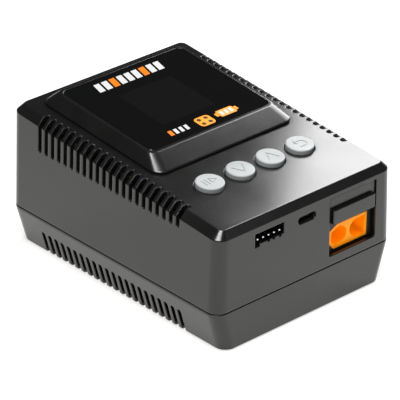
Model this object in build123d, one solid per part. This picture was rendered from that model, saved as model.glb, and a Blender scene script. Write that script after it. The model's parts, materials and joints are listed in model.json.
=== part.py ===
from build123d import *
import math
import os

# Balance battery charger. Millimetres, +Z up, +X to the right of the port face, which looks along -Y.
# The origin is on the surface the feet stand on, under the middle of the body.

# Case
WIDTH = 83.0
DEPTH = 107.8
FOOT_PROUD = 0.4
SPLIT_Z = 15.75
SEAM = 0.4
WALL = 2.0
TOP_WALL = 2.2
FLOOR = 2.2
CORNER_R = 4.5
SIDE_DRAFT = 0.0285
END_DRAFT = 0.010
CORNER_DRAFT = 0.008
BAND = 1.1
TAPER_X = 4.1
TAPER_Y = 0.3
BOTTOM_ROUND = 0.5
TOP_FRONT_Z = 45.9
TOP_SLOPE = math.degrees(math.atan(0.0861))
EDGE_SIDE = 2.95
EDGE_END = 2.15
EDGE_DROP = 2.7
RIM_R = 2.2
CREASE_R = 0.35

# Raised display pod and its window
POD_FRONT_Z = 49.63
POD_SLOPE = math.degrees(math.atan(0.0998))
POD_FOOT = (32.85, -16.1, 48.3)
POD_HEAD = (28.9, -7.2, 43.2)
POD_FOOT_R = 4.4
POD_HEAD_R = 3.0
GLASS_HALF_X = 27.8
GLASS_Y = (-5.7, 41.6)
GLASS_THICK = 1.1
GLASS_R = 2.4
LEDGE = 1.3

# Vents: the same comb on both sides, above and below the split
VENT_COUNT = 22
VENT_PITCH = 3.4
VENT_WIDTH = 1.95
VENT_BACK_Y = 38.0
VENT_TOP_X = 35.4
VENT_LOW_Z = 41.4
LOWER_VENT_TOP = 9.4
LOWER_VENT_X = 35.9

# Buttons
BUTTON_NAMES = ("start", "down", "up", "back")
BUTTON_PITCH = 14.0
BUTTON_X0 = -21.35
BUTTON_Y = -28.0
BUTTON_R = 5.1
BUTTON_PROUD = 1.6
BUTTON_GAP = 0.25
BUTTON_FLANGE = 0.8
ICON_LINE = 0.42
ICON_DEPTH = 0.16
UI_DEPTH = 8.4
UI_BOARD = 1.2
SWITCH_SIZE = 6.0
SWITCH_TALL = 2.6
PLUNGER_R = 1.7
PLUNGER_TALL = 0.9

# Front ports, measured on the front face
FRONT_Y = -DEPTH / 2
BACK_Y = DEPTH / 2
BALANCE_X = -17.75
BALANCE_SIZE = (13.4, 4.2)
BALANCE_Z = 38.85
BALANCE_PITCH = 2.5
BALANCE_PINS = 5
USB_X = -0.35
USB_Z = 38.6
USB_SIZE = (8.6, 3.0)
WINDOW_X = 21.7
WINDOW_HALF = 11.15
WINDOW_Z = (19.35, 41.8)

# Door that covers one socket at a time
DOOR_TRAVEL = 11.8
DOOR_LIP = 1.35
DOOR_PANEL_DEPTH = 0.8
DOOR_FLANGE = (1.5, 2.2)
GRIP_PROUD = 0.65
GRIP_Z = (31.6, 37.1)
GRIP_HALF = 10.0

# Battery sockets behind the door
SOCKET_DEPTH = 2.45
SOCKET_X = 21.88
LOWER_SOCKET = (18.1, 9.1, 24.5)
UPPER_SOCKET = (16.6, 8.4, 36.1)
SOCKET_LONG = 12.0
CONTACT_TIP = 7.6

# Boards
MAIN_TOP = USB_Z - 1.63
BOARD = 1.6
POWER_Z = 6.0
BOSS_X = 32.2
BOSS_Y = (-34.0, 46.0)

# Fan and mains inlet on the back wall
FAN = 35.0
FAN_THICK = 10.0
FAN_X = -11.0
FAN_Z = 34.1
INLET_X = 19.0
INLET_Z = 28.0

TOP_PLANE = Plane(
    origin=(0, FRONT_Y, TOP_FRONT_Z),
    x_dir=(1, 0, 0),
    z_dir=(0, -math.sin(math.radians(TOP_SLOPE)), math.cos(math.radians(TOP_SLOPE))),
)
POD_PLANE = Plane(
    origin=(0, FRONT_Y, POD_FRONT_Z),
    x_dir=(1, 0, 0),
    z_dir=(0, -math.sin(math.radians(POD_SLOPE)), math.cos(math.radians(POD_SLOPE))),
)
FRONT_PLANE = Plane(origin=(0, FRONT_Y, 0), x_dir=(1, 0, 0), z_dir=(0, -1, 0))

PARTS = {}


# Small shared shapes

def block(x0, x1, y0, y1, z0, z1):
    """A block from its six faces."""
    centre = Pos((x0 + x1) / 2, (y0 + y1) / 2, (z0 + z1) / 2)
    return centre * Box(x1 - x0, y1 - y0, z1 - z0)


def upright(x, y, z0, z1, radius):
    """A vertical round bar."""
    return Pos(x, y, (z0 + z1) / 2) * Cylinder(radius, z1 - z0)


def along_y(x, z, y0, y1, radius):
    """A round bar that runs front to back."""
    return Pos(x, (y0 + y1) / 2, z) * Rot(90, 0, 0) * Cylinder(radius, y1 - y0)


def along_x(y, z, x0, x1, radius):
    """A round bar that runs left to right."""
    return Pos((x0 + x1) / 2, y, z) * Rot(0, 90, 0) * Cylinder(radius, x1 - x0)


def top_point(x, y, below=0.0):
    """A place on the sloping top, or below it along its normal, for a horizontal distance y."""
    reach = (y - FRONT_Y) / math.cos(math.radians(TOP_SLOPE))
    return TOP_PLANE * Pos(x, reach, -below)


def pod_reach(y):
    """Distance along the pod's slope for a horizontal distance y."""
    return (y - FRONT_Y) / math.cos(math.radians(POD_SLOPE))


def top_height(y):
    """Height of the sloping top over a horizontal distance y."""
    return TOP_FRONT_Z + (y - FRONT_Y) * math.tan(math.radians(TOP_SLOPE))


def pod_height(y):
    """Height of the pod's plane over a horizontal distance y."""
    return POD_FRONT_Z + (y - FRONT_Y) * math.tan(math.radians(POD_SLOPE))


def case_section(z, inset=0.0):
    """The upper case's rounded outline at a height, or that outline moved inwards."""
    rise = z - SPLIT_Z
    half_x = WIDTH / 2 - SIDE_DRAFT * rise - inset
    half_y = DEPTH / 2 - END_DRAFT * rise - inset
    radius = max(CORNER_R - CORNER_DRAFT * rise - inset, 0.5)
    return Pos(0, 0, z) * RectangleRounded(2 * half_x, 2 * half_y, radius)


def front_prism(sketch, depth0, depth1):
    """A sketch on the front face, (x, z), made solid between two depths behind that face."""
    start = FRONT_PLANE.offset(-depth0)
    return extrude(start * sketch, amount=-(depth1 - depth0))


def button_xs():
    """Where the four buttons stand across the top."""
    return [BUTTON_X0 + BUTTON_PITCH * index for index in range(len(BUTTON_NAMES))]


def vent_ys():
    """Middle of every vent slot along the side."""
    return [VENT_BACK_Y - VENT_PITCH * index for index in range(VENT_COUNT)]


# Cases

def pod_solid():
    """The raised pod that carries the display."""
    def outline(place, half_x, y0, y1, radius, slope):
        reach0 = (y0 - FRONT_Y) / math.cos(math.radians(slope))
        reach1 = (y1 - FRONT_Y) / math.cos(math.radians(slope))
        flat = RectangleRounded(2 * half_x, reach1 - reach0, radius)
        return place * Pos(0, (reach0 + reach1) / 2) * flat

    foot = outline(TOP_PLANE, *POD_FOOT, POD_FOOT_R, TOP_SLOPE)
    head = outline(POD_PLANE, *POD_HEAD, POD_HEAD_R, POD_SLOPE)
    pod = loft([foot, head])
    head_face = pod.faces().sort_by(Axis.Z)[-1]
    return fillet(head_face.edges(), 0.55)


def upper_outer():
    """Outside of the upper case: drafted walls, sloping top, bevelled rim and pod."""
    walls = loft([case_section(SPLIT_Z + SEAM / 2), case_section(66.0)])
    walls = split(walls, bisect_by=TOP_PLANE.offset(-EDGE_DROP), keep=Keep.BOTTOM)
    shoulder = walls.faces().sort_by(Axis.Z)[-1]
    box = shoulder.bounding_box()
    reach0 = TOP_PLANE.to_local_coords(box.min).Y + EDGE_END
    reach1 = TOP_PLANE.to_local_coords(box.max).Y - EDGE_END
    wide = box.max.X - box.min.X - 2 * EDGE_SIDE
    flat = TOP_PLANE * Pos(0, (reach0 + reach1) / 2) * RectangleRounded(wide, reach1 - reach0, RIM_R)
    body = walls + loft([shoulder, flat.faces()[0]], ruled=True)
    flat_top = body.faces().sort_by(Axis.Z)[-1]
    return fillet(flat_top.edges(), CREASE_R) + pod_solid()


def upper_inner():
    """The hollow inside the upper case, with the hollow under the display."""
    room = loft([case_section(SPLIT_Z, WALL), case_section(66.0, WALL)])
    room = split(room, bisect_by=TOP_PLANE.offset(-TOP_WALL), keep=Keep.BOTTOM)
    lid = GLASS_THICK + LEDGE
    reach0 = pod_reach(POD_HEAD[1] + 1.2)
    reach1 = pod_reach(POD_HEAD[2] - 1.2)
    flat = RectangleRounded(2 * (POD_HEAD[0] - 1.6), reach1 - reach0, 2.0)
    under = POD_PLANE.offset(-lid) * Pos(0, (reach0 + reach1) / 2) * flat
    return room + extrude(under, amount=-9)


def upper_vent(side, y):
    """One slot that climbs the side wall, crosses the bevel and ends on the top."""
    half = VENT_WIDTH / 2
    low = VENT_LOW_Z + half
    inner = VENT_TOP_X + half
    outer = WIDTH / 2 + 2
    x0, x1 = sorted((side * inner, side * outer))
    return [
        block(x0, x1, y - half, y + half, low, 60),
        along_x(y, low, x0, x1, half),
        upright(side * inner, y, low, 60, half),
    ]


def lower_vent(side, y):
    """One slot in the tapered side that runs down round the bottom edge."""
    half = VENT_WIDTH / 2
    high = LOWER_VENT_TOP - half
    inner = LOWER_VENT_X + half
    x0, x1 = sorted((side * inner, side * (WIDTH / 2 + 2)))
    return [
        block(x0, x1, y - half, y + half, -2, high),
        along_x(y, high, x0, x1, half),
        upright(side * inner, y, -2, high, half),
    ]


def balance_opening():
    """Outline of the balance port with the keyways along its lower edge, as (x, z)."""
    low = BALANCE_Z - BALANCE_SIZE[1] / 2
    shape = Pos(BALANCE_X, BALANCE_Z) * Rectangle(*BALANCE_SIZE)
    keyways = ((-5.55, 2.3, 0.95), (-0.35, 1.2, 0.6), (1.95, 1.2, 0.6), (5.0, 1.2, 0.7))
    for offset, key_wide, key_deep in keyways:
        shape += Pos(BALANCE_X + offset, low) * Rectangle(key_wide, 2 * key_deep)
    return shape


def front_cuts():
    """Everything that is cut through the front wall."""
    usb = Pos(USB_X, USB_Z) * SlotOverall(*USB_SIZE)
    usb_pocket = Pos(USB_X, USB_Z) * SlotOverall(USB_SIZE[0] + 0.8, USB_SIZE[1] + 0.7)
    middle = (WINDOW_Z[0] + WINDOW_Z[1]) / 2
    tall = WINDOW_Z[1] - WINDOW_Z[0]
    window = Pos(WINDOW_X, middle) * RectangleRounded(2 * WINDOW_HALF, tall, 0.7)
    pocket = Pos(WINDOW_X, middle) * Rectangle(2 * WINDOW_HALF + 2.6, tall + 1.3)
    return [
        front_prism(balance_opening(), -1, 4),
        front_prism(usb, -1, 4),
        front_prism(usb_pocket, 0.9, 4),
        front_prism(window, -1, 4),
        front_prism(pocket, DOOR_LIP, 4),
    ]


def fan_grille():
    """Slots through the back wall in front of the fan, and the fan's four screw holes."""
    reach = FAN / 2 - 1.6
    cuts = []
    for index in range(-4, 5):
        x = index * 3.4
        half = math.sqrt(reach * reach - x * x) - 0.4
        x0, x1 = FAN_X + x - 0.9, FAN_X + x + 0.9
        for z0, z1 in ((-half, -1.0), (1.0, half)):
            cuts.append(block(x0, x1, BACK_Y - 4, BACK_Y + 1, FAN_Z + z0, FAN_Z + z1))
    for dx, dz in fan_corners():
        cuts.append(along_y(FAN_X + dx, FAN_Z + dz, BACK_Y - 4, BACK_Y + 1, 1.6))
    return cuts


def fan_corners():
    """Offsets of the fan's screws from its middle."""
    step = FAN / 2 - 3.0
    return [(dx, dz) for dx in (-step, step) for dz in (-step, step)]


def inlet_opening(spare=0.0):
    """Hole in the back wall for the mains inlet."""
    y0, y1 = BACK_Y - 4, BACK_Y + 1
    half_x, half_z = 9.3 + spare, 5.6 + spare
    return block(INLET_X - half_x, INLET_X + half_x, y0, y1, INLET_Z - half_z, INLET_Z + half_z)


def screw_places():
    """The four screws that close the case, as (x, y)."""
    return [(x, y) for x in (-BOSS_X, BOSS_X) for y in BOSS_Y]


def main_posts():
    """Posts that hang from the ceiling and carry the main board, as (x, y, top)."""
    front = [(-25.6, -40.6), (4.9, -42.4)]
    back = [(-25.6, 3.0), (25.6, 3.0)]
    posts = [(x, y, top_height(y) - TOP_WALL + 0.5) for x, y in front]
    return posts + [(x, y, pod_height(y) - GLASS_THICK - LEDGE + 0.3) for x, y in back]


def ui_posts():
    """Posts that carry the button board, as (x, y)."""
    return [(-27.0, -19.6), (0.0, -19.6), (27.0, -19.6)]


def make_upper_case():
    """Upper case with its vents, ports, posts and screw bosses."""
    case = upper_outer() - upper_inner()
    rebate = loft([case_section(SPLIT_Z, 1.0), case_section(SPLIT_Z + 2.4, 1.0)])
    case -= rebate - upper_inner()
    for x, y in screw_places():
        case += upright(x, y, SPLIT_Z + 1.0, top_height(y) - TOP_WALL + 0.5, 3.2)
    for x, y, top in main_posts():
        case += upright(x, y, MAIN_TOP, top, 2.2)
    for x, y in ui_posts():
        case += top_point(x, y, (UI_DEPTH + TOP_WALL - 0.5) / 2) * Cylinder(2.0, UI_DEPTH - TOP_WALL + 0.5)
    lid = GLASS_THICK + 0.05
    reach0, reach1 = (pod_reach(y) for y in GLASS_Y)
    middle = (reach0 + reach1) / 2
    seat = RectangleRounded(2 * GLASS_HALF_X + 0.24, reach1 - reach0 + 0.24, GLASS_R)
    case -= extrude(POD_PLANE.offset(-lid) * Pos(0, middle) * seat, amount=5)
    case -= POD_PLANE * Pos(-0.7, pod_reach(16.8), -3) * Box(31.4, 30.4, 6)
    cuts = [top_point(x, BUTTON_Y) * Cylinder(BUTTON_R + BUTTON_GAP, 8) for x in button_xs()]
    for side in (-1, 1):
        for y in vent_ys():
            cuts += upper_vent(side, y)
    cuts += front_cuts()
    cuts += fan_grille()
    cuts.append(inlet_opening(0.15))
    cuts += [upright(x, y, SPLIT_Z, SPLIT_Z + 12, 1.25) for x, y in screw_places()]
    cuts += [upright(x, y, MAIN_TOP - 1, MAIN_TOP + 5.0, 0.85) for x, y, top in main_posts()]
    cuts += [top_point(x, y, UI_DEPTH - 1.5) * Cylinder(0.85, 5) for x, y in ui_posts()]
    return case - cuts


def lower_section(z, inset=0.0):
    """The lower case's rounded outline: upright near the split, tapered below."""
    knee = SPLIT_Z - BAND
    share = max(knee - z, 0) / (knee - FOOT_PROUD)
    half_x = WIDTH / 2 - TAPER_X * share - inset
    half_y = DEPTH / 2 - TAPER_Y * share - inset
    return Pos(0, 0, z) * RectangleRounded(2 * half_x, 2 * half_y, CORNER_R - inset)


def make_lower_case():
    """Lower case: a tapered tub with a locating lip, board posts and screw bosses."""
    knee = SPLIT_Z - BAND
    top = SPLIT_Z - SEAM / 2
    tub = loft([lower_section(FOOT_PROUD), lower_section(knee)])
    base_face = tub.faces().sort_by(Axis.Z)[0]
    tub = fillet(base_face.edges(), BOTTOM_ROUND)
    tub += extrude(lower_section(knee), amount=top - knee)
    room = loft([lower_section(FOOT_PROUD + FLOOR, WALL), lower_section(knee, WALL)])
    room += extrude(lower_section(knee, WALL), amount=top - knee + 1)
    tub -= room
    lip = extrude(case_section(top - 0.4, 1.15), amount=2.3) - extrude(case_section(top - 1, WALL), amount=5)
    tub += lip
    tub += [upright(x, y, FOOT_PROUD + 0.3, SPLIT_Z + 0.9, 3.9) for x, y in screw_places()]
    tub += [upright(x, y, FOOT_PROUD + 0.5, POWER_Z, 2.6) for x, y in power_posts()]
    cuts = []
    for side in (-1, 1):
        for y in vent_ys():
            cuts += lower_vent(side, y)
    for x, y in screw_places():
        cuts += [upright(x, y, -1, 20, 1.65), upright(x, y, -1, 4.6, 2.95)]
    cuts += [upright(x, y, POWER_Z - 3.2, POWER_Z + 1, 0.85) for x, y in power_posts()]
    cuts += [upright(x, y, FOOT_PROUD - 1, FOOT_PROUD + 0.6, 4.1) for x, y in foot_places()]
    cuts.append(block(-22.2, 22.2, -14.2, 14.2, FOOT_PROUD - 1, FOOT_PROUD + 0.2))
    return tub - cuts


def power_posts():
    """Posts under the power board, as (x, y)."""
    return [(-30.0, -25.5), (30.0, -25.5), (-30.0, 36.5), (30.0, 36.5)]


def foot_places():
    """Rubber feet, as (x, y)."""
    return [(x, y) for x in (-27.0, 27.0) for y in (-44.0, 34.0)]


# Display, buttons and their board

def make_display():
    """Window, colour panel, its tray and the flat cable that feeds it."""
    reach0, reach1 = (pod_reach(y) for y in GLASS_Y)
    middle = (reach0 + reach1) / 2
    pane = RectangleRounded(2 * GLASS_HALF_X, reach1 - reach0, GLASS_R - 0.1)
    glass = extrude(POD_PLANE.offset(-GLASS_THICK - 0.05) * Pos(0, middle) * pane, amount=GLASS_THICK)
    upper = glass.faces().sort_by(Axis.Z)[-1]
    PARTS["display_window"] = chamfer(upper.edges(), 0.2)
    centre = pod_reach(16.8)
    PARTS["display_panel"] = POD_PLANE * Pos(-0.7, centre, -2.3) * Box(30.6, 29.6, 2.0)
    tray = POD_PLANE * Pos(-0.7, centre, -4.0) * Box(38, 37, 3.2)
    tray -= POD_PLANE * Pos(-0.7, centre, -2.0) * Box(31.0, 30.0, 2.7)
    tray -= POD_PLANE * Pos(-0.7, centre, -1.35) * Box(50, 50, 2.2)
    PARTS["display_tray"] = tray
    start = (0, 2.0, pod_height(2.0) - 6.2)
    route = FilletPolyline(start, (0, 2.0, 44.5), (0, -3.5, 41.5), (0, -3.5, MAIN_TOP + 0.06), radius=2.0)
    strip = Plane(origin=start, x_dir=(1, 0, 0), z_dir=(0, 0, -1)) * Rectangle(11, 0.3)
    PARTS["display_ribbon"] = sweep(strip, path=route)


def stroke(*points):
    """A line of an icon through points, with round ends."""
    shape = None
    for (x0, y0), (x1, y1) in zip(points, points[1:]):
        turn = math.degrees(math.atan2(y1 - y0, x1 - x0))
        bar = SlotCenterToCenter(math.hypot(x1 - x0, y1 - y0), ICON_LINE)
        bar = Pos((x0 + x1) / 2, (y0 + y1) / 2) * Rot(0, 0, turn) * bar
        shape = bar if shape is None else shape + bar
    return shape


def button_icon(name):
    """The plain sign engraved on a button: play and pause, down, up or return."""
    if name == "start":
        bars = stroke((-2.5, -1.4), (-2.5, 1.6)) + stroke((-1.1, -1.4), (-1.1, 1.6))
        return bars + stroke((0.3, 1.6), (2.9, 0.1), (0.3, -1.4), (0.3, 1.6))
    if name == "down":
        return stroke((-2.3, 1.9), (0, -2.3), (2.3, 1.9))
    if name == "up":
        return stroke((-2.3, -1.9), (0, 2.3), (2.3, -1.9))
    loop = stroke((-2.2, 1.4), (1.2, 1.4), (2.3, 0.4), (2.3, -1.0), (1.2, -2.0), (-1.4, -2.0))
    return loop + stroke((-1.0, 2.6), (-2.2, 1.4), (-1.0, 0.2))


def make_buttons():
    """Four push buttons, each a cap on a stem that ends in its switch's plunger."""
    stem_foot = UI_DEPTH - SWITCH_TALL - PLUNGER_TALL
    for name, x in zip(BUTTON_NAMES, button_xs()):
        spot = top_point(x, BUTTON_Y)
        cap_tall = BUTTON_PROUD + TOP_WALL + 0.3
        cap = Pos(0, 0, BUTTON_PROUD - cap_tall / 2) * Cylinder(BUTTON_R, cap_tall)
        rim = cap.edges().filter_by(GeomType.CIRCLE).sort_by(Axis.Z)[-1]
        cap = fillet(rim, 0.45)
        cap -= extrude(Pos(0, 0, BUTTON_PROUD - ICON_DEPTH) * button_icon(name), amount=1)
        low = BUTTON_PROUD - cap_tall
        flange = Pos(0, 0, low - BUTTON_FLANGE / 2) * Cylinder(BUTTON_R + 1.0, BUTTON_FLANGE)
        stem_top = low - BUTTON_FLANGE
        stem_tall = stem_foot + stem_top
        stem = Pos(0, 0, stem_top - stem_tall / 2) * Cylinder(2.0, stem_tall)
        # The plunger's foot stays inside the switch body through the whole press.
        plunger = Pos(0, 0, -stem_foot - (PLUNGER_TALL + 0.8) / 2) * Cylinder(PLUNGER_R, PLUNGER_TALL + 0.8)
        PARTS["button_" + name] = spot * (cap + flange + stem + plunger)


def make_ui_board():
    """The sloping board under the buttons, its switches and its screws."""
    half_x = 29.0
    reach = (BUTTON_Y - FRONT_Y) / math.cos(math.radians(TOP_SLOPE))
    board = TOP_PLANE * Pos(0, reach + 0.5, -UI_DEPTH - UI_BOARD / 2) * Box(2 * half_x, 21.0, UI_BOARD)
    screws = None
    for x, y in ui_posts():
        board -= top_point(x, y, UI_DEPTH + 0.6) * Cylinder(1.05, 4)
        head = top_point(x, y, UI_DEPTH + UI_BOARD + 0.5) * Cylinder(1.8, 1.0)
        head += top_point(x, y, UI_DEPTH - 0.8) * Cylinder(0.82, 2 * UI_BOARD + 1.6)
        screws = head if screws is None else screws + head
    switches = None
    for x in button_xs():
        body = top_point(x, BUTTON_Y, UI_DEPTH - SWITCH_TALL / 2) * Box(SWITCH_SIZE, SWITCH_SIZE, SWITCH_TALL)
        body -= top_point(x, BUTTON_Y, UI_DEPTH - SWITCH_TALL) * Cylinder(PLUNGER_R + 0.08, 3.4)
        switches = body if switches is None else switches + body
    PARTS["button_board"] = board
    PARTS["button_board_screws"] = screws
    PARTS["button_switches"] = switches


# Door and battery sockets

def make_door():
    """Door: a flange held behind the wall, a panel in the window and a finger grip."""
    top = WINDOW_Z[1]
    flange_face = Pos(WINDOW_X, (GRIP_Z[0] - 0.9 + top + 0.4) / 2)
    flange_face = flange_face * Rectangle(2 * WINDOW_HALF + 2.0, top + 0.4 - GRIP_Z[0] + 0.9)
    door = front_prism(flange_face, *DOOR_FLANGE)
    panel_face = Pos(WINDOW_X, (GRIP_Z[0] + top - 0.15) / 2)
    panel_face = panel_face * RectangleRounded(2 * WINDOW_HALF - 0.3, top - 0.15 - GRIP_Z[0], 0.6)
    door += front_prism(panel_face, DOOR_PANEL_DEPTH, DOOR_FLANGE[0])
    grip_face = Pos(WINDOW_X, (GRIP_Z[0] + GRIP_Z[1]) / 2)
    grip_face = grip_face * RectangleRounded(2 * GRIP_HALF, GRIP_Z[1] - GRIP_Z[0], 0.3)
    grip = front_prism(grip_face, -GRIP_PROUD, DOOR_PANEL_DEPTH)
    grip = chamfer(grip.faces().sort_by(Axis.Y)[0].edges(), 0.25)
    PARTS["sliding_door"] = door + grip


def socket_outline(wide, tall, shrink=0.0):
    """Keyed socket outline: square to the right, cut away at both left corners, as (x, z)."""
    right = wide / 2 - shrink
    high = tall / 2 - shrink
    cut = wide * 0.2
    shape = Polyline(
        (right, high),
        (-right + cut, high),
        (-right, high * 0.62),
        (-right, -high * 0.45),
        (-right + cut * 0.62, -high),
        (right, -high),
        close=True,
    )
    face = make_face(shape)
    corners = face.vertices()
    return fillet(corners, 0.45)


def socket_cavity(wide, tall, side, web):
    """One of a socket's two contact wells, narrow at the web and full towards the end wall."""
    rim = 1.05
    inner = web / 2
    outer = wide / 2 - rim
    high = tall / 2 - rim
    belly = Pos(side * (inner + high), 0) * Circle(high)
    box_wide = outer - inner - high
    bay = Pos(side * (outer - box_wide / 2), 0) * Rectangle(box_wide, 2 * high)
    return belly + bay


def make_socket(node, wide, tall, z, contact_r):
    """A two-contact battery socket: housing, contacts and the two small data contacts."""
    place = Pos(SOCKET_X, z)
    back = SOCKET_DEPTH + SOCKET_LONG
    web = 1.5
    housing = front_prism(place * socket_outline(wide, tall), SOCKET_DEPTH, back)
    inside = socket_outline(wide, tall, 1.05)
    contacts = None
    data = None
    for side in (-1, 1):
        well = socket_cavity(wide, tall, side, web) & inside
        housing -= front_prism(place * well, SOCKET_DEPTH - 1, back - 1.6)
        x = SOCKET_X + side * (web / 2 + tall / 2 - 1.05)
        y0 = FRONT_Y + SOCKET_DEPTH + CONTACT_TIP
        y1 = FRONT_Y + back - 1.6
        housing -= along_y(x, z, y1 - 1, FRONT_Y + back + 1, contact_r * 0.55)
        pin = along_y(x, z, y0, y1, contact_r)
        pin -= along_y(x, z, y0 - 1, y1 - 1.2, contact_r * 0.62)
        pin += along_y(x, z, y1, FRONT_Y + back + 2.4, contact_r * 0.5)
        contacts = pin if contacts is None else contacts + pin
        at = Pos(SOCKET_X + side * wide * 0.30, z - data_drop(tall))
        bar = front_prism(at * Rectangle(0.6, 0.6), SOCKET_DEPTH + CONTACT_TIP - 3.0, back + 2.4)
        housing -= front_prism(at * Rectangle(0.64, 0.64), back - 2.6, back + 1)
        data = bar if data is None else data + bar
    PARTS[node] = housing
    PARTS[node + "_contacts"] = contacts
    PARTS[node + "_data_pins"] = data


def data_drop(tall):
    """How far a socket's data contacts lie under its middle."""
    return tall / 2 - 1.05 - 0.45


def make_socket_frame():
    """Plate behind the door that guides it and holds both sockets."""
    low, high = WINDOW_Z[0] - 1.6, WINDOW_Z[1] + 0.9
    deep0, deep1 = DOOR_FLANGE[1] + 0.12, 5.0
    face = Pos(WINDOW_X, (low + high) / 2) * Rectangle(2 * WINDOW_HALF + 5.0, high - low)
    frame = front_prism(face, deep0, deep1)
    for wide, tall, z in (LOWER_SOCKET, UPPER_SOCKET):
        hole = Pos(SOCKET_X, z) * socket_outline(wide + 0.2, tall + 0.2)
        frame -= front_prism(hole, deep0 - 1, deep1 + 1)
    PARTS["socket_frame"] = frame
    deep = SOCKET_DEPTH + SOCKET_LONG
    board_face = Pos(SOCKET_X, (low + high) / 2 + 0.4) * Rectangle(21.0, high - low - 1.6)
    board = front_prism(board_face, deep, deep + BOARD)
    for wide, tall, z in (LOWER_SOCKET, UPPER_SOCKET):
        y0, y1 = FRONT_Y + deep - 1, FRONT_Y + deep + BOARD + 1
        for side in (-1, 1):
            x = SOCKET_X + side * (0.75 + tall / 2 - 1.05)
            board -= along_y(x, z, y0, y1, 1.5)
            at = Pos(SOCKET_X + side * wide * 0.30, z - data_drop(tall))
            board -= front_prism(at * Rectangle(0.9, 0.9), deep - 1, deep + BOARD + 1)
    PARTS["socket_board"] = board


# Main board and its ports

def make_main_board():
    """Charging board under the ceiling with the two small front ports."""
    low = MAIN_TOP - BOARD
    front = FRONT_Y + 3.4
    board = block(-28, 7.6, front, -33.0, low, MAIN_TOP) + block(-28, 28, -33.5, 8.0, low, MAIN_TOP)
    board -= block(BALANCE_X - 7.7, BALANCE_X + 7.7, front - 1, front + 8.2, low - 1, MAIN_TOP + 1)
    screws = None
    for x, y, top in main_posts():
        board -= upright(x, y, low - 1, MAIN_TOP + 1, 1.05)
        screw = upright(x, y, low - 1.1, low, 1.9) + upright(x, y, low, MAIN_TOP + 3.6, 0.82)
        screws = screw if screws is None else screws + screw
    PARTS["main_board"] = board
    PARTS["main_board_screws"] = screws


def make_balance_port():
    """Balance header behind its opening: a shroud with five long pins."""
    y0 = FRONT_Y + WALL + 0.35
    y1 = y0 + 8.5
    mid = BALANCE_Z - 0.45
    header = block(BALANCE_X - 7.5, BALANCE_X + 7.5, y0, y1, mid - 3.0, mid + 3.0)
    header -= block(BALANCE_X - 6.8, BALANCE_X + 6.8, y0 - 1, y1 - 2.4, mid - 2.3, mid + 2.4)
    pins = None
    for index in range(BALANCE_PINS):
        x = BALANCE_X + (index - (BALANCE_PINS - 1) / 2) * BALANCE_PITCH
        header -= block(x - 0.34, x + 0.34, y1 - 4, y1 + 1, mid - 0.34, mid + 0.34)
        pin = block(x - 0.32, x + 0.32, FRONT_Y + 0.6, y1 + 1.6, mid - 0.32, mid + 0.32)
        tip = pin.faces().sort_by(Axis.Y)[0]
        pin = chamfer(tip.edges(), 0.14)
        pin += block(x - 0.32, x + 0.32, y1 + 0.96, y1 + 1.6, MAIN_TOP - BOARD - 1.0, mid)
        pins = pin if pins is None else pins + pin
        PARTS["main_board"] -= block(x - 0.45, x + 0.45, y1 + 0.8, y1 + 1.8, MAIN_TOP - 3, MAIN_TOP + 1)
    PARTS["balance_header"] = header
    PARTS["balance_pins"] = pins


def make_usb_port():
    """USB-C receptacle: a rolled shell round a flat tongue."""
    outer = Pos(USB_X, USB_Z) * SlotOverall(8.94, 3.26)
    inner = Pos(USB_X, USB_Z) * SlotOverall(8.34, 2.66)
    shell = front_prism(outer, 1.0, 8.3) - front_prism(inner, 0, 7.4)
    tongue = Pos(USB_X, USB_Z) * Rectangle(6.6, 0.7)
    root = Pos(USB_X, USB_Z) * SlotOverall(8.30, 2.62)
    PARTS["usb_shell"] = shell
    PARTS["usb_tongue"] = front_prism(tongue, 2.0, 6.0) + front_prism(root, 6.0, 7.4)


def make_main_parts():
    """Chips, inductors, capacitors and the sounder on the main board."""
    low = MAIN_TOP - BOARD
    PARTS["controller_chip"] = block(-17, -7, -14, -4, MAIN_TOP, MAIN_TOP + 1.2)
    small = block(2, 7, -30, -25, MAIN_TOP, MAIN_TOP + 1.0)
    small += block(-25, -20, -30, -26, MAIN_TOP, MAIN_TOP + 1.0)
    small += block(12, 18, -12, -6, MAIN_TOP, MAIN_TOP + 1.0)
    PARTS["driver_chips"] = small
    PARTS["buzzer"] = upright(20, -1, MAIN_TOP, MAIN_TOP + 5.0, 4.6) - upright(20, -1, MAIN_TOP + 4, MAIN_TOP + 6, 1.0)
    core = block(-10, 2.4, -41.5, -29, low - 6.6, low)
    PARTS["power_inductor"] = chamfer(core.edges().filter_by(Axis.Z), 1.6)
    fets = None
    for x in (-22.0, -15.0):
        part = block(x - 2.6, x + 2.6, -36, -30, low - 1.2, low)
        fets = part if fets is None else fets + part
    PARTS["main_transistors"] = fets
    sink = block(-27, -11.5, -37.5, -28.0, low - 3.4, low - 1.3)
    for index in range(6):
        x = -26.0 + index * 2.7
        sink += block(x - 0.5, x + 0.5, -37.5, -28.0, low - 8.5, low - 3.4)
    PARTS["main_heat_sink"] = sink


# Mains power supply

def make_power_board():
    """Power board on the floor, with its screws and the sheet under it."""
    board = block(-34, 34, -29.3, 41.0, POWER_Z, POWER_Z + BOARD)
    screws = None
    for x, y in power_posts():
        board -= upright(x, y, POWER_Z - 1, POWER_Z + 3, 1.05)
        screw = upright(x, y, POWER_Z + BOARD, POWER_Z + BOARD + 1.1, 1.9)
        screw += upright(x, y, POWER_Z - 2.6, POWER_Z + BOARD, 0.82)
        screws = screw if screws is None else screws + screw
    PARTS["power_board"] = board
    PARTS["power_board_screws"] = screws
    sheet = block(-34, 34, -28.5, 40.0, FOOT_PROUD + FLOOR + 0.05, FOOT_PROUD + FLOOR + 0.35)
    for x, y in power_posts():
        sheet -= upright(x, y, 0, 6, 2.9)
    PARTS["insulating_sheet"] = sheet


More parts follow.
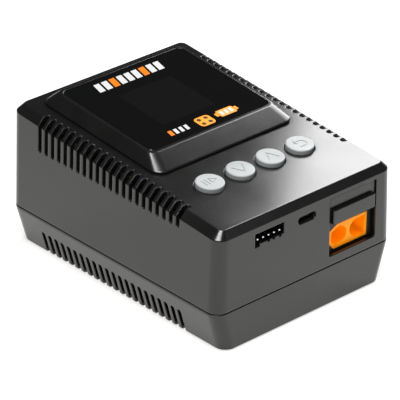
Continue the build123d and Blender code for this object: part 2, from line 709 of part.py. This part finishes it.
def make_power_parts():
    """The parts that turn mains into low voltage."""
    deck = POWER_Z + BOARD
    core = block(-25, 1, -11, 13, deck + 4.0, deck + 21.0) - block(-18.6, -5.4, -12, 14, deck + 8.0, deck + 17.0)
    PARTS["transformer_core"] = core
    bobbin = block(-18.4, -5.6, -15.5, 17.5, deck + 8.2, deck + 16.8) - block(-20, -4, -11.2, 13.2, 0, 1)
    bobbin += block(-24, 0, -17.5, -15.0, deck, deck + 20) + block(-24, 0, 17.0, 19.5, deck, deck + 20)
    PARTS["transformer_winding"] = bobbin
    can = upright(17, 24, deck, deck + 28, 8.0)
    can = fillet(can.edges().filter_by(GeomType.CIRCLE).sort_by(Axis.Z)[-1], 0.8)
    PARTS["bulk_capacitor"] = can
    PARTS["line_capacitor"] = block(-4, 5, 26, 38, deck, deck + 13)
    ring = upright(-18, 30, deck + 0.6, deck + 7.6, 8.2) - upright(-18, 30, deck, deck + 9, 4.2)
    PARTS["line_choke"] = ring
    PARTS["bridge_rectifier"] = block(8, 12, -2, 13, deck, deck + 12)
    PARTS["mains_fuse"] = along_y(29.5, deck + 3.2, 8, 28, 2.6)
    sinks = block(-31.0, -28.8, -20, 20, deck, deck + 22) + block(26.0, 28.2, -20, 5, deck, deck + 22)
    PARTS["power_heat_sinks"] = sinks
    parts = block(-28.8, -25.2, -8, 2, deck + 2, deck + 17)
    parts += block(22.4, 26.0, -16, -6, deck + 2, deck + 17)
    PARTS["power_transistors"] = parts
    cans = None
    for x in (-12.0, -2.0):
        part = upright(x, -23.5, deck, deck + 16, 4.0)
        cans = part if cans is None else cans + part
    PARTS["output_capacitors"] = cans
    PARTS["output_choke"] = upright(17, -8, deck, deck + 9, 5.0) - upright(17, -8, deck - 1, deck + 10, 2.2)


def make_inlet():
    """Figure-eight mains inlet with its two pins and its solder tabs."""
    y_out = BACK_Y + GRIP_PROUD
    flange = block(INLET_X - 10.8, INLET_X + 10.8, BACK_Y, y_out, INLET_Z - 7.1, INLET_Z + 7.1)
    flange = fillet(flange.edges().filter_by(Axis.Y), 1.5)
    body = block(INLET_X - 9.2, INLET_X + 9.2, BACK_Y - 15, BACK_Y, INLET_Z - 5.5, INLET_Z + 5.5)
    inlet = flange + body
    eight = Pos(INLET_X - 4.1, 0, INLET_Z) * Rot(90, 0, 0) * Cylinder(4.3, 26)
    eight += Pos(INLET_X + 4.1, 0, INLET_Z) * Rot(90, 0, 0) * Cylinder(4.3, 26)
    eight += Pos(INLET_X, 0, INLET_Z) * Box(8.2, 26, 5.2)
    inlet -= Pos(0, BACK_Y, 0) * eight
    pins = None
    for side in (-1, 1):
        x = INLET_X + side * 4.1
        inlet -= along_y(x, INLET_Z, BACK_Y - 16, BACK_Y - 12, 1.2)
        pin = along_y(x, INLET_Z, BACK_Y - 17.5, BACK_Y - 3.0, 1.18)
        pin = fillet(pin.edges().filter_by(GeomType.CIRCLE).sort_by(Axis.Y)[-1], 0.7)
        pins = pin if pins is None else pins + pin
    PARTS["mains_inlet"] = inlet
    PARTS["mains_inlet_pins"] = pins


# Fan

def make_fan():
    """Fan frame against the back wall, its rotor and its screws."""
    y1 = BACK_Y - WALL - 0.45
    y0 = y1 - FAN_THICK
    mid_y = (y0 + y1) / 2
    half = FAN / 2
    frame = Pos(FAN_X, mid_y, FAN_Z) * Box(FAN, FAN_THICK, FAN)
    frame = fillet(frame.edges().filter_by(Axis.Y), 2.0)
    frame -= along_y(FAN_X, FAN_Z, y0 - 1, y1 + 1, half - 1.0)
    frame += along_y(FAN_X, FAN_Z, y0, y0 + 1.4, 8.0)
    for angle in (45, 165, 285):
        frame += Pos(FAN_X, y0 + 0.7, FAN_Z) * Rot(0, angle, 0) * block(0, half - 0.5, -0.7, 0.7, -1, 1)
    frame += along_y(FAN_X, FAN_Z, y0 + 1.2, y0 + 6.0, 2.6)
    frame -= along_y(FAN_X, FAN_Z, y0 + 1.6, y0 + 7, 0.8)
    for dx, dz in fan_corners():
        frame -= along_y(FAN_X + dx, FAN_Z + dz, y0 - 1, y1 + 1, 1.5)
    PARTS["fan_frame"] = frame
    hub = along_y(FAN_X, FAN_Z, y0 + 2.2, y1 - 0.6, 7.4)
    hub -= along_y(FAN_X, FAN_Z, y0 + 1.0, y1 - 1.8, 6.4)
    hub += along_y(FAN_X, FAN_Z, y0 + 2.0, y1 - 1.0, 0.75)
    blade_reach = half - 1.7
    for index in range(7):
        blade = Pos((7.0 + blade_reach) / 2, 0, 0) * Rot(38, 0, 0) * Box(blade_reach - 7.0, 6.6, 0.9)
        rotor_spot = Pos(FAN_X, (y0 + 2.2 + y1 - 0.6) / 2, FAN_Z) * Rot(0, index * 360 / 7, 0)
        hub += rotor_spot * blade
    PARTS["fan_rotor"] = hub
    screws = None
    for dx, dz in fan_corners():
        x, z = FAN_X + dx, FAN_Z + dz
        screw = along_y(x, z, y0 + 1.0, BACK_Y, 1.4) + along_y(x, z, BACK_Y, BACK_Y + 0.6, 2.6)
        screws = screw if screws is None else screws + screw
    PARTS["fan_screws"] = screws


# Wires, feet, label and case screws

def wire(points, radius, bend):
    """A round wire along straight runs joined by arcs."""
    route = FilletPolyline(*points, radius=bend)
    start = Vector(*points[0])
    heading = Vector(*points[1]) - start
    return sweep(Plane(origin=start, z_dir=heading) * Circle(radius), path=route)


def make_wires():
    """Leads that join the boards, the inlet and the fan."""
    deck = POWER_Z + BOARD + 0.05
    low = MAIN_TOP - BOARD - 0.05
    for node, x in (("positive_lead", 11.0), ("negative_lead", 14.4)):
        points = ((x, -15.5, deck), (x, -15.5, 14.0), (x, -24.0, 27.0), (x, -24.0, low))
        PARTS[node] = wire(points, 1.1, 5.0)
    leads = None
    for side in (-1, 1):
        x = INLET_X + side * 4.1
        y_tab = BACK_Y - 17.55
        points = ((x, y_tab, INLET_Z), (x, y_tab - 3.0, INLET_Z), (x, y_tab - 3.0, deck))
        lead = wire(points, 0.9, 2.2)
        leads = lead if leads is None else leads + lead
    PARTS["mains_leads"] = leads
    y_fan = BACK_Y - WALL - 0.5 - FAN_THICK
    points = (
        (-25.0, y_fan, 20.0),
        (-25.0, y_fan - 6.0, 20.0),
        (-25.0, 24.0, 31.0),
        (-18.0, 5.5, 31.0),
        (-18.0, 5.5, low),
    )
    PARTS["fan_lead"] = wire(points, 0.8, 1.8)


def make_base_trim():
    """Feet, rating plate and the screws that close the case."""
    feet = None
    for x, y in foot_places():
        foot = upright(x, y, 0, FOOT_PROUD + 0.55, 4.0)
        rim = foot.edges().filter_by(GeomType.CIRCLE).sort_by(Axis.Z)[0]
        foot = fillet(rim, 0.2)
        feet = foot if feet is None else feet + foot
    PARTS["rubber_feet"] = feet
    PARTS["rating_plate"] = block(-22, 22, -14, 14, FOOT_PROUD + 0.05, FOOT_PROUD + 0.18)
    screws = None
    for x, y in screw_places():
        screw = upright(x, y, 2.2, 4.55, 2.75) - upright(x, y, 2.1, 3.4, 1.1)
        screw += upright(x, y, 4.5, SPLIT_Z + 9, 1.2)
        screws = screw if screws is None else screws + screw
    PARTS["case_screws"] = screws


def main():
    PARTS["upper_case"] = make_upper_case()
    PARTS["lower_case"] = make_lower_case()
    make_display()
    make_buttons()
    make_ui_board()
    make_door()
    make_socket("lower_socket", *LOWER_SOCKET, 2.0)
    make_socket("upper_socket", *UPPER_SOCKET, 1.6)
    make_socket_frame()
    make_main_board()
    make_balance_port()
    make_usb_port()
    make_main_parts()
    make_power_board()
    make_power_parts()
    make_inlet()
    make_fan()
    make_wires()
    make_base_trim()
    os.makedirs("parts", exist_ok=True)
    for node, shape in PARTS.items():
        export_step(shape, "parts/" + node + ".step")
        print(node, round(shape.volume, 1), len(shape.solids()))


main()
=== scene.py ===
import json
import math

import bmesh
import bpy
from mathutils import Matrix, Vector


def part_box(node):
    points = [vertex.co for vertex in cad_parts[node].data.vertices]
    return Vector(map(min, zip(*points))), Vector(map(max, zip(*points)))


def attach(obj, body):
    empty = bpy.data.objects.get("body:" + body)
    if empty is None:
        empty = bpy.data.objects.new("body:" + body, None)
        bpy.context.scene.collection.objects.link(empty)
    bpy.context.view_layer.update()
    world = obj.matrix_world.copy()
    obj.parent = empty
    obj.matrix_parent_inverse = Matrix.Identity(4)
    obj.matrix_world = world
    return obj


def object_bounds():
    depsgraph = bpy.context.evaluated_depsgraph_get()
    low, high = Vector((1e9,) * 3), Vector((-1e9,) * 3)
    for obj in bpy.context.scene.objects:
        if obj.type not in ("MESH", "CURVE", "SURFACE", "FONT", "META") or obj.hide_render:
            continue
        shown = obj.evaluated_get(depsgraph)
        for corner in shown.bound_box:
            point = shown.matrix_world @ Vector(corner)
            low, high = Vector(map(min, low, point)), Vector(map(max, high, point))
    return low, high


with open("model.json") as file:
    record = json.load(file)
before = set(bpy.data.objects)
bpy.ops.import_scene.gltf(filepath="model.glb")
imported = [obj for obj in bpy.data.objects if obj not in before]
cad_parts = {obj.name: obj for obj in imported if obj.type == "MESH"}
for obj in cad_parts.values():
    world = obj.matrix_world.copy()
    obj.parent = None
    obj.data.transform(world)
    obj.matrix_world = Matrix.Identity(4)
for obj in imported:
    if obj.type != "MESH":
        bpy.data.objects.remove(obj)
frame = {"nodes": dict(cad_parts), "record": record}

# Balance battery charger: studio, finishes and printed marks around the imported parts.
# Places are in metres in the frame's axes; marks and textures are in millimetres.

MM = 0.001
CAD_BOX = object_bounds()
NODES = frame["nodes"]

# Camera, as a place on a sphere round the case
CAMERA_AZIMUTH = math.radians(-42.732)
CAMERA_ELEVATION = math.radians(28.214)
CAMERA_ROLL = math.radians(0.61)
CAMERA_PLACE = Vector((-0.60792, -0.65805, 0.50905))
CAMERA_LENS = 261.66
CAMERA_SHIFT = (0.0005, -0.0310)

# Soft boxes: direction from what they light, distance, (width, height) and radiance
KEY_BOX = ((0.598, 0.557, 0.576), 0.25, (0.13, 0.20), 10.0)
KEY_SLIDE = -0.106
TOP_BOX = ((-0.27, -0.19, 0.94), 0.60, (0.32, 0.46), 15.0)
FRONT_BOX = ((0.30, -0.90, 0.32), 0.80, (0.50, 0.30), 0.4)
WORLD_GLOW = 0.05
FLOOR_HALF = 3.0
FLOOR_GLOW = 0.62

# Printed marks: ink thickness, and the rating plate's margins and line spacing
INK = 0.03
INK_OVER = 0.05
INK_SCREEN = 0.008
INK_PLATE = 0.02
PLATE_INSET = 1.5
PLATE_RULE = 0.35
PLATE_MARGIN = 3.0
PLATE_LINE_STEP = 2.2
PLATE_SQUARE_STEP = 4.5


# Camera, floor and light

def basis(back, roll=0.0):
    """Rotation whose +Z is back, with +X level and then rolled."""
    right = Vector((0, 0, 1)).cross(back).normalized()
    up = back.cross(right)
    x_axis = right * math.cos(roll) + up * math.sin(roll)
    y_axis = up * math.cos(roll) - right * math.sin(roll)
    return Matrix((x_axis, y_axis, back)).transposed()


def make_camera():
    level = math.cos(CAMERA_ELEVATION)
    back = Vector((
        math.sin(CAMERA_AZIMUTH) * level,
        -math.cos(CAMERA_AZIMUTH) * level,
        math.sin(CAMERA_ELEVATION),
    ))
    data = bpy.data.cameras.new("studio_camera")
    data.sensor_width = 36.0
    data.lens = CAMERA_LENS
    data.shift_x, data.shift_y = CAMERA_SHIFT
    data.clip_start = 0.05
    data.clip_end = 20.0
    camera = bpy.data.objects.new("studio_camera", data)
    camera.matrix_world = Matrix.Translation(CAMERA_PLACE) @ basis(back, CAMERA_ROLL).to_4x4()
    bpy.context.scene.collection.objects.link(camera)
    bpy.context.scene.camera = camera


def soft_light(name, aim, direction, distance, size, radiance, sideways=0.0):
    """A rectangular soft box that faces aim from a direction, slid sideways in its own plane."""
    back = Vector(direction).normalized()
    turn = basis(back)
    data = bpy.data.lights.new(name, "AREA")
    data.shape = "RECTANGLE"
    data.size, data.size_y = size
    data.energy = radiance * math.pi * size[0] * size[1]
    light = bpy.data.objects.new(name, data)
    place = Vector(aim) + back * distance + turn.col[0] * sideways
    light.matrix_world = Matrix.Translation(place) @ turn.to_4x4()
    light.visible_camera = False
    bpy.context.scene.collection.objects.link(light)


def make_studio():
    scene = bpy.context.scene
    scene.view_settings.view_transform = "Standard"
    world = bpy.data.worlds.new("studio")
    world.use_nodes = True
    background = world.node_tree.nodes["Background"]
    background.inputs["Color"].default_value = (0.93, 0.96, 1.0, 1.0)
    background.inputs["Strength"].default_value = WORLD_GLOW
    scene.world = world

    crown = Vector((0, 0, CAD_BOX[1].z))
    soft_light("key_box", crown, *KEY_BOX, sideways=KEY_SLIDE)
    near_corner = Vector((-0.030, -0.025, 0.050))
    soft_light("top_box", near_corner, *TOP_BOX)
    soft_light("front_fill", crown, *FRONT_BOX)

    bm = bmesh.new()
    bmesh.ops.create_grid(bm, x_segments=24, y_segments=24, size=FLOOR_HALF)
    mesh = bpy.data.meshes.new("floor")
    bm.to_mesh(mesh)
    bm.free()
    floor = bpy.data.objects.new("floor", mesh)
    floor.location.z = CAD_BOX[0].z
    scene.collection.objects.link(floor)
    paper = Finish("floor_paper", (0.42, 0.42, 0.42), 0.9)
    paper.shader.inputs["Emission Color"].default_value = (1.0, 0.985, 0.96, 1.0)
    paper.shader.inputs["Emission Strength"].default_value = FLOOR_GLOW
    paper.bump(paper.noise(1.5, 3), 0.02)
    mesh.materials.append(paper.material)


# Finishes

class Finish:
    """A procedural material: one shader, and the nodes that drive its colour, gloss and relief."""

    def __init__(self, name, colour, roughness, **settings):
        self.material = bpy.data.materials.new(name)
        self.material.use_nodes = True
        tree = self.material.node_tree
        self.nodes, self.links = tree.nodes, tree.links
        self.shader = self.nodes["Principled BSDF"]
        self.shader.inputs["Base Color"].default_value = (*colour, 1.0)
        self.shader.inputs["Roughness"].default_value = roughness
        for socket, value in settings.items():
            self.shader.inputs[socket.replace("_", " ")].default_value = value
        self.place = self.nodes.new("ShaderNodeTexCoord").outputs["Object"]
        self.relief = None

    def noise(self, size_mm, detail=2, stretch=(1, 1, 1)):
        """Noise with features of a size in millimetres, from 0 to 1."""
        mapping = self.nodes.new("ShaderNodeMapping")
        mapping.inputs["Scale"].default_value = [s / (size_mm * MM) for s in stretch]
        self.links.new(self.place, mapping.inputs["Vector"])
        node = self.nodes.new("ShaderNodeTexNoise")
        node.inputs["Scale"].default_value = 1.0
        node.inputs["Detail"].default_value = detail
        self.links.new(mapping.outputs["Vector"], node.inputs["Vector"])
        return node.outputs["Fac"]

    def spread(self, factor, low, high, start=0.3, stop=0.7):
        """A 0 to 1 factor stretched to run from low to high."""
        node = self.nodes.new("ShaderNodeMapRange")
        for socket, value in (("From Min", start), ("From Max", stop), ("To Min", low), ("To Max", high)):
            node.inputs[socket].default_value = value
        self.links.new(factor, node.inputs["Value"])
        return node.outputs["Result"]

    def bands(self, pitch_mm, axis):
        """1 on even stripes and 0 between them."""
        node = self.nodes.new("ShaderNodeTexWave")
        node.bands_direction = axis
        node.inputs["Scale"].default_value = math.pi / (10 * pitch_mm * MM)
        self.links.new(self.place, node.inputs["Vector"])
        return self.spread(node.outputs["Fac"], 0.0, 1.0, 0.68, 0.76)

    def dots(self, pitch_mm):
        """1 on small round spots at uneven places."""
        node = self.nodes.new("ShaderNodeTexVoronoi")
        node.inputs["Scale"].default_value = 1.0 / (pitch_mm * MM)
        self.links.new(self.place, node.inputs["Vector"])
        return self.spread(node.outputs["Distance"], 1.0, 0.0, 0.16, 0.2)

    def turns(self, pitch_mm, axis, colour, depth_mm):
        """Dark grooves between wound turns or folded layers."""
        grooves = self.bands(pitch_mm, axis)
        self.tint(grooves, colour)
        self.bump(grooves, depth_mm)

    def combine(self, operation, first, second):
        """Arithmetic on two factors, either of which may be a plain number."""
        node = self.nodes.new("ShaderNodeMath")
        node.operation = operation
        for socket, value in zip(node.inputs, (first, second)):
            if isinstance(value, (int, float)):
                socket.default_value = value
            else:
                self.links.new(value, socket)
        return node.outputs["Value"]

    def tint(self, factor, colour):
        """Mixes another colour in by a factor, on top of what is there."""
        node = self.nodes.new("ShaderNodeMix")
        node.data_type = "RGBA"
        base = self.shader.inputs["Base Color"]
        if base.is_linked:
            self.links.new(base.links[0].from_socket, node.inputs["A"])
        else:
            node.inputs["A"].default_value = base.default_value
        node.inputs["B"].default_value = (*colour, 1.0)
        self.links.new(factor, node.inputs["Factor"])
        self.links.new(node.outputs["Result"], base)

    def gloss(self, factor):
        self.links.new(factor, self.shader.inputs["Roughness"])

    def rounded(self, radius_mm):
        """Softens the shading of sharp edges, as a small moulded radius does."""
        node = self.nodes.new("ShaderNodeBevel")
        node.samples = 8
        node.inputs["Radius"].default_value = radius_mm * MM
        self.relief = node.outputs["Normal"]
        self.links.new(self.relief, self.shader.inputs["Normal"])

    def bump(self, factor, depth_mm):
        """Adds relief of a depth in millimetres."""
        node = self.nodes.new("ShaderNodeBump")
        node.inputs["Strength"].default_value = 1.0
        node.inputs["Distance"].default_value = depth_mm * MM
        self.links.new(factor, node.inputs["Height"])
        if self.relief is not None:
            self.links.new(self.relief, node.inputs["Normal"])
        self.relief = node.outputs["Normal"]
        self.links.new(self.relief, self.shader.inputs["Normal"])

    def painted_recess_shade(self, reach_mm, low, high):
        """Painted shade mask from ambient occlusion: high in narrow recesses and low in the open."""
        node = self.nodes.new("ShaderNodeAmbientOcclusion")
        node.samples = 8
        node.inputs["Distance"].default_value = reach_mm * MM
        return self.spread(node.outputs["AO"], high, low, 0.45, 0.95)


def moulded(name, colour, roughness, grain_mm=0.35, grain_depth=0.006, edge_mm=0.15, **settings):
    """Injection-moulded plastic: spark-eroded grain, slow tone changes and a small edge radius."""
    finish = Finish(name, colour, roughness, **settings)
    lighter = [min(c * 1.5 + 0.002, 1.0) for c in colour]
    finish.tint(finish.spread(finish.noise(14.0, 3), 0.0, 0.55), lighter)
    handled = finish.spread(finish.noise(22.0, 4), -0.03, 0.03)
    speckle = finish.spread(finish.noise(grain_mm, 2), -0.04, 0.04)
    finish.gloss(finish.combine("ADD", finish.combine("ADD", handled, speckle), roughness))
    if edge_mm:
        finish.rounded(edge_mm)
    finish.bump(finish.noise(grain_mm, 2), grain_depth)
    return finish


def metal(name, colour, roughness, brush=(1, 1, 1), **settings):
    """Bare metal with fine scratches along one direction and a little tarnish."""
    finish = Finish(name, colour, roughness, Metallic=1.0, **settings)
    finish.tint(finish.spread(finish.noise(2.5, 4), 0.0, 0.5), [c * 0.7 for c in colour])
    lines = finish.noise(0.25, 3, brush)
    finish.gloss(finish.spread(lines, roughness * 0.75, roughness * 1.35))
    finish.bump(lines, 0.003)
    return finish


def wound(name, colour, pitch_mm, axis, groove, depth_mm):
    """A coil or layered wrap: glossy colour with dark grooves at an even pitch."""
    finish = moulded(name, colour, 0.35, edge_mm=0)
    finish.turns(pitch_mm, axis, groove, depth_mm)
    return finish


def case_finish():
    finish = moulded("case_black", (0.0042, 0.0041, 0.0039), 0.22, grain_depth=0.004, edge_mm=0.5)
    # Painted shade: the reflection level falls from 0.6 in the open to 0.05 in recesses, by the occlusion
    # mask.
    finish.links.new(finish.painted_recess_shade(1.6, 0.6, 0.05), finish.shader.inputs["Specular IOR Level"])
    return finish


def window_finish():
    finish = Finish("window_black", (0.002, 0.002, 0.002), 0.04, IOR=1.5)
    finish.gloss(finish.spread(finish.noise(9.0, 5), 0.03, 0.09))
    return finish


def socket_finish(name, colour, shade, painted_glow):
    """Dyed socket plastic with a painted glow of its own colour from emission, and painted shade deep in its
    wells.
    """
    finish = moulded(name, colour, 0.38, grain_depth=0.003, Specular_IOR_Level=0.2)
    # Painted shade: the shade colour mixed in deep in the wells, by the occlusion mask.
    finish.tint(finish.painted_recess_shade(4.0, 0.0, 0.85), shade)
    # Painted glow: the plastic gives off light of its own colour, though it is no lamp.
    finish.shader.inputs["Emission Color"].default_value = (*colour, 1.0)
    finish.shader.inputs["Emission Strength"].default_value = painted_glow
    return finish


def board_finish():
    """Solder mask over tracks: bands along x and y that swap with slow noise, and tinned dots."""
    finish = moulded("board_green", (0.008, 0.055, 0.022), 0.3, edge_mm=0)
    patches = finish.spread(finish.noise(9.0, 1), 0.0, 1.0, 0.48, 0.52)
    along = finish.combine("MULTIPLY", finish.bands(1.3, "X"), patches)
    across = finish.combine("MULTIPLY", finish.bands(1.3, "Y"), finish.combine("SUBTRACT", 1.0, patches))
    tracks = finish.combine("ADD", along, across)
    finish.tint(tracks, (0.02, 0.13, 0.05))
    dots = finish.dots(2.6)
    finish.tint(dots, (0.62, 0.62, 0.60))
    finish.bump(finish.combine("MAXIMUM", tracks, dots), 0.03)
    return finish


def button_finish():
    finish = moulded("button_grey", (0.25, 0.26, 0.26), 0.45, grain_mm=0.25, grain_depth=0.004, edge_mm=0)
    # Painted shade: darker grey in narrow recesses of the buttons, such as the icon grooves, by the occlusion
    # mask.
    finish.tint(finish.painted_recess_shade(0.35, 0.0, 0.45), (0.12, 0.13, 0.13))
    return finish


def make_finishes():
    """One finish for every material slot of the record."""
    made = {
        "case_black": case_finish(),
        "inner_black": moulded("inner_black", (0.006, 0.006, 0.006), 0.5),
        "window_black": window_finish(),
        "panel_black": moulded("panel_black", (0.010, 0.010, 0.013), 0.15, edge_mm=0),
        "ribbon_amber": moulded("ribbon_amber", (0.35, 0.16, 0.04), 0.3, edge_mm=0),
        "button_grey": button_finish(),
        "board_green": board_finish(),
        "screw_steel": metal("screw_steel", (0.6, 0.6, 0.6), 0.3),
        "switch_steel": metal("switch_steel", (0.5, 0.5, 0.5), 0.35),
        "socket_orange": socket_finish("socket_orange", (1.0, 0.30, 0.0), (0.35, 0.02, 0.0), 0.30),
        "contact_gold": metal("contact_gold", (0.85, 0.62, 0.25), 0.2),
        "socket_blue": socket_finish("socket_blue", (0.02, 0.12, 0.55), (0.004, 0.02, 0.12), 0.08),
        "header_black": moulded("header_black", (0.012, 0.012, 0.012), 0.5),
        "pin_tin": metal("pin_tin", (0.85, 0.84, 0.82), 0.2),
        "shell_steel": metal("shell_steel", (0.6, 0.6, 0.61), 0.25),
        "chip_black": moulded("chip_black", (0.02, 0.02, 0.021), 0.55, grain_mm=0.15),
        "ferrite_grey": moulded("ferrite_grey", (0.07, 0.07, 0.075), 0.6, grain_mm=0.2, grain_depth=0.02),
        "sink_aluminium": metal("sink_aluminium", (0.68, 0.68, 0.70), 0.35, brush=(1, 12, 1)),
        "sheet_clear": moulded("sheet_clear", (0.5, 0.5, 0.45), 0.3),
        "tape_yellow": wound("tape_yellow", (0.8, 0.55, 0.04), 2.4, "Z", (0.45, 0.28, 0.02), 0.05),
        "sleeve_navy": moulded("sleeve_navy", (0.015, 0.025, 0.10), 0.25),
        "block_yellow": moulded("block_yellow", (0.75, 0.6, 0.1), 0.4),
        "choke_green": wound("choke_green", (0.30, 0.10, 0.03), 0.9, "Z", (0.02, 0.10, 0.04), 0.12),
        "fuse_ceramic": moulded("fuse_ceramic", (0.75, 0.72, 0.65), 0.6),
        "fan_black": moulded("fan_black", (0.014, 0.014, 0.014), 0.45),
        "screw_black": metal("screw_black", (0.06, 0.06, 0.065), 0.4),
        "wire_red": moulded("wire_red", (0.55, 0.02, 0.01), 0.4, edge_mm=0),
        "wire_black": moulded("wire_black", (0.015, 0.015, 0.015), 0.4, edge_mm=0),
        "foot_rubber": moulded("foot_rubber", (0.02, 0.02, 0.02), 0.8, grain_mm=0.3, grain_depth=0.02),
        "label_silver": metal("label_silver", (0.35, 0.35, 0.36), 0.4, brush=(1, 10, 1)),
    }
    return {slot: finish.material for slot, finish in made.items()}


def dress_nodes(materials):
    """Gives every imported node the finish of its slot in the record."""
    slot_of = {row["node"]: row["material_slot"] for row in frame["record"]["subparts"]}
    for name, node in NODES.items():
        for place in node.material_slots:
            place.link = "OBJECT"
            place.material = materials[slot_of[name]]


# Thin printed marks

def surface(node, x, y, facing):
    """Where a vertical line through (x, y) first meets a node, coming from above (1) or below (-1)."""
    found, place, normal, _ = NODES[node].ray_cast(Vector((x, y, facing)), Vector((0, 0, -facing)))
    if not found:
        raise ValueError(f"{node} has nothing at {x}, {y}")
    return place, normal


def link_mesh(name, bm, material):
    bmesh.ops.recalc_face_normals(bm, faces=bm.faces)
    mesh = bpy.data.meshes.new(name)
    bm.to_mesh(mesh)
    bm.free()
    mesh.materials.append(material)
    piece = bpy.data.objects.new(name, mesh)
    bpy.context.scene.collection.objects.link(piece)
    return piece


def printed(name, outlines, node, material, thick, facing=1):
    """Ink on a flat face of a housing node: each outline is a closed run of (x, y) in millimetres."""
    bm = bmesh.new()
    for outline in outlines:
        corners = []
        for x, y in outline:
            place, normal = surface(node, x * MM, y * MM, facing)
            corners.append(bm.verts.new(place + normal * thick * MM))
        grown = bmesh.ops.extrude_face_region(bm, geom=[bm.faces.new(corners)])
        moved = [v for v in grown["geom"] if isinstance(v, bmesh.types.BMVert)]
        bmesh.ops.translate(bm, verts=moved, vec=normal * -thick * MM * 0.9)
    piece = link_mesh(name, bm, material)
    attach(piece, "housing")


# Generic marks printed on the display window, in millimetres

def slanted_bar(x0, x1, y0, y1, lean=0.0):
    return [(x0, y0), (x1, y0), (x1 + lean, y1), (x0 + lean, y1)]


def rounded_box(x0, x1, y0, y1, radius, steps=5):
    """A box outline with round corners, anticlockwise."""
    corners = ((x1 - radius, y0 + radius, -90), (x1 - radius, y1 - radius, 0),
               (x0 + radius, y1 - radius, 90), (x0 + radius, y0 + radius, 180))
    outline = []
    for cx, cy, start in corners:
        for step in range(steps + 1):
            angle = math.radians(start + 90 * step / steps)
            outline.append((cx + radius * math.cos(angle), cy + radius * math.sin(angle)))
    return outline


def disc(x, y, radius, steps=20):
    turns = [2 * math.pi * step / steps for step in range(steps)]
    return [(x + radius * math.cos(t), y + radius * math.sin(t)) for t in turns]


def ink(name, colour, painted_glow, roughness=0.35):
    finish = Finish(name, colour, roughness)
    finish.tint(finish.spread(finish.noise(0.8, 3), 0.0, 0.25), [c * 0.8 for c in colour])
    # Painted glow: the ink gives off light of its own colour, so the printed marks stay bright under any
    # lamp.
    finish.shader.inputs["Emission Color"].default_value = (*colour, 1.0)
    finish.shader.inputs["Emission Strength"].default_value = painted_glow
    return finish.material


def make_window_marks():
    """A row of plain bars at the top; ticks, a four-cell sign and a charge sign along the bottom."""
    white = ink("ink_white", (0.42, 0.42, 0.42), 0.3)
    orange = ink("ink_orange", (0.60, 0.12, 0.002), 0.45)
    amber = ink("ink_amber", (0.62, 0.20, 0.002), 0.5)
    dark = ink("ink_dark", (0.03, 0.012, 0.004), 0.0)
    screen = ink("ink_screen", (0.004, 0.0036, 0.0036), 0.0, 0.05)

    def mark(name, outlines, material, thick=INK):
        printed(name, outlines, "display_window", material, thick)

    wide, gap, lean = 2.5, 0.95, 1.1
    starts = [-16.6 + index * (wide + gap) for index in range(9)]
    bars = [slanted_bar(x, x + wide, 33.6, 38.8, lean) for x in starts]
    mark("window_bars_white", bars[:2] + bars[3:6] + bars[7:], white)
    mark("window_bars_orange", [bars[2], bars[6]], orange)
    mark("window_screen_area", [rounded_box(-12.9, 11.5, 5.0, 28.5, 0.4)], screen, INK_SCREEN)
    mark("window_tick_orange", [slanted_bar(-15.4, -13.8, -2.2, 0.7, 0.5)], orange)
    mark("window_ticks_white", [slanted_bar(x, x + 1.4, -2.2, 0.7, 0.5) for x in (-12.9, -10.5, -8.1)], white)
    mark("window_cell_plate", [rounded_box(-2.5, 4.2, -4.1, 1.6, 1.5)], amber)
    dots = [disc(x, y, 0.85) for x in (-0.7, 2.4) for y in (-2.6, 0.1)]
    mark("window_cell_dots", dots, dark, INK_OVER)
    mark("window_charge_body", [rounded_box(7.6, 15.0, -2.9, 1.1, 0.6)], amber)
    mark("window_charge_ends", [slanted_bar(6.3, 7.4, -1.9, 0.1), slanted_bar(15.2, 16.3, -1.9, 0.1)], amber)
    levels = [slanted_bar(x, x + 1.3, -2.1, 0.3, 0.3) for x in (8.4, 10.5, 12.6)]
    mark("window_charge_levels", levels, white, INK_OVER)


# Generic marks printed on the rating plate

def make_plate_marks():
    """Plain lines, a ruled frame and a row of squares in place of lettering."""
    low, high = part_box("rating_plate")
    x0, y0, x1, y1 = low.x / MM, low.y / MM, high.x / MM, high.y / MM
    dark = ink("ink_plate", (0.01, 0.01, 0.012), 0.0)
    inset, rule = PLATE_INSET, PLATE_RULE
    frame_bars = [
        slanted_bar(x0 + inset, x1 - inset, y0 + inset, y0 + inset + rule),
        slanted_bar(x0 + inset, x1 - inset, y1 - inset - rule, y1 - inset),
        slanted_bar(x0 + inset, x0 + inset + rule, y0 + inset + 0.5, y1 - inset - 0.5),
        slanted_bar(x1 - inset - rule, x1 - inset, y0 + inset + 0.5, y1 - inset - 0.5),
    ]
    printed("plate_frame", frame_bars, "rating_plate", dark, INK_PLATE, -1)
    left = x0 + PLATE_MARGIN
    reach = x1 - x0 - 2 * PLATE_MARGIN
    lines = []
    for row, share in enumerate((0.55, 0.9, 0.8, 0.95, 0.7)):
        y = y1 - 4.5 - PLATE_LINE_STEP * row
        lines.append(slanted_bar(left, left + reach * share, y, y + 0.7))
    printed("plate_lines", lines, "rating_plate", dark, INK_PLATE, -1)
    starts = [left + PLATE_SQUARE_STEP * index for index in range(4)]
    squares = [slanted_bar(x, x + 3.0, y0 + 3.0, y0 + 6.0) for x in starts]
    printed("plate_squares", squares, "rating_plate", dark, INK_PLATE, -1)


FINISHES = make_finishes()
dress_nodes(FINISHES)
make_window_marks()
make_plate_marks()
make_camera()
make_studio()
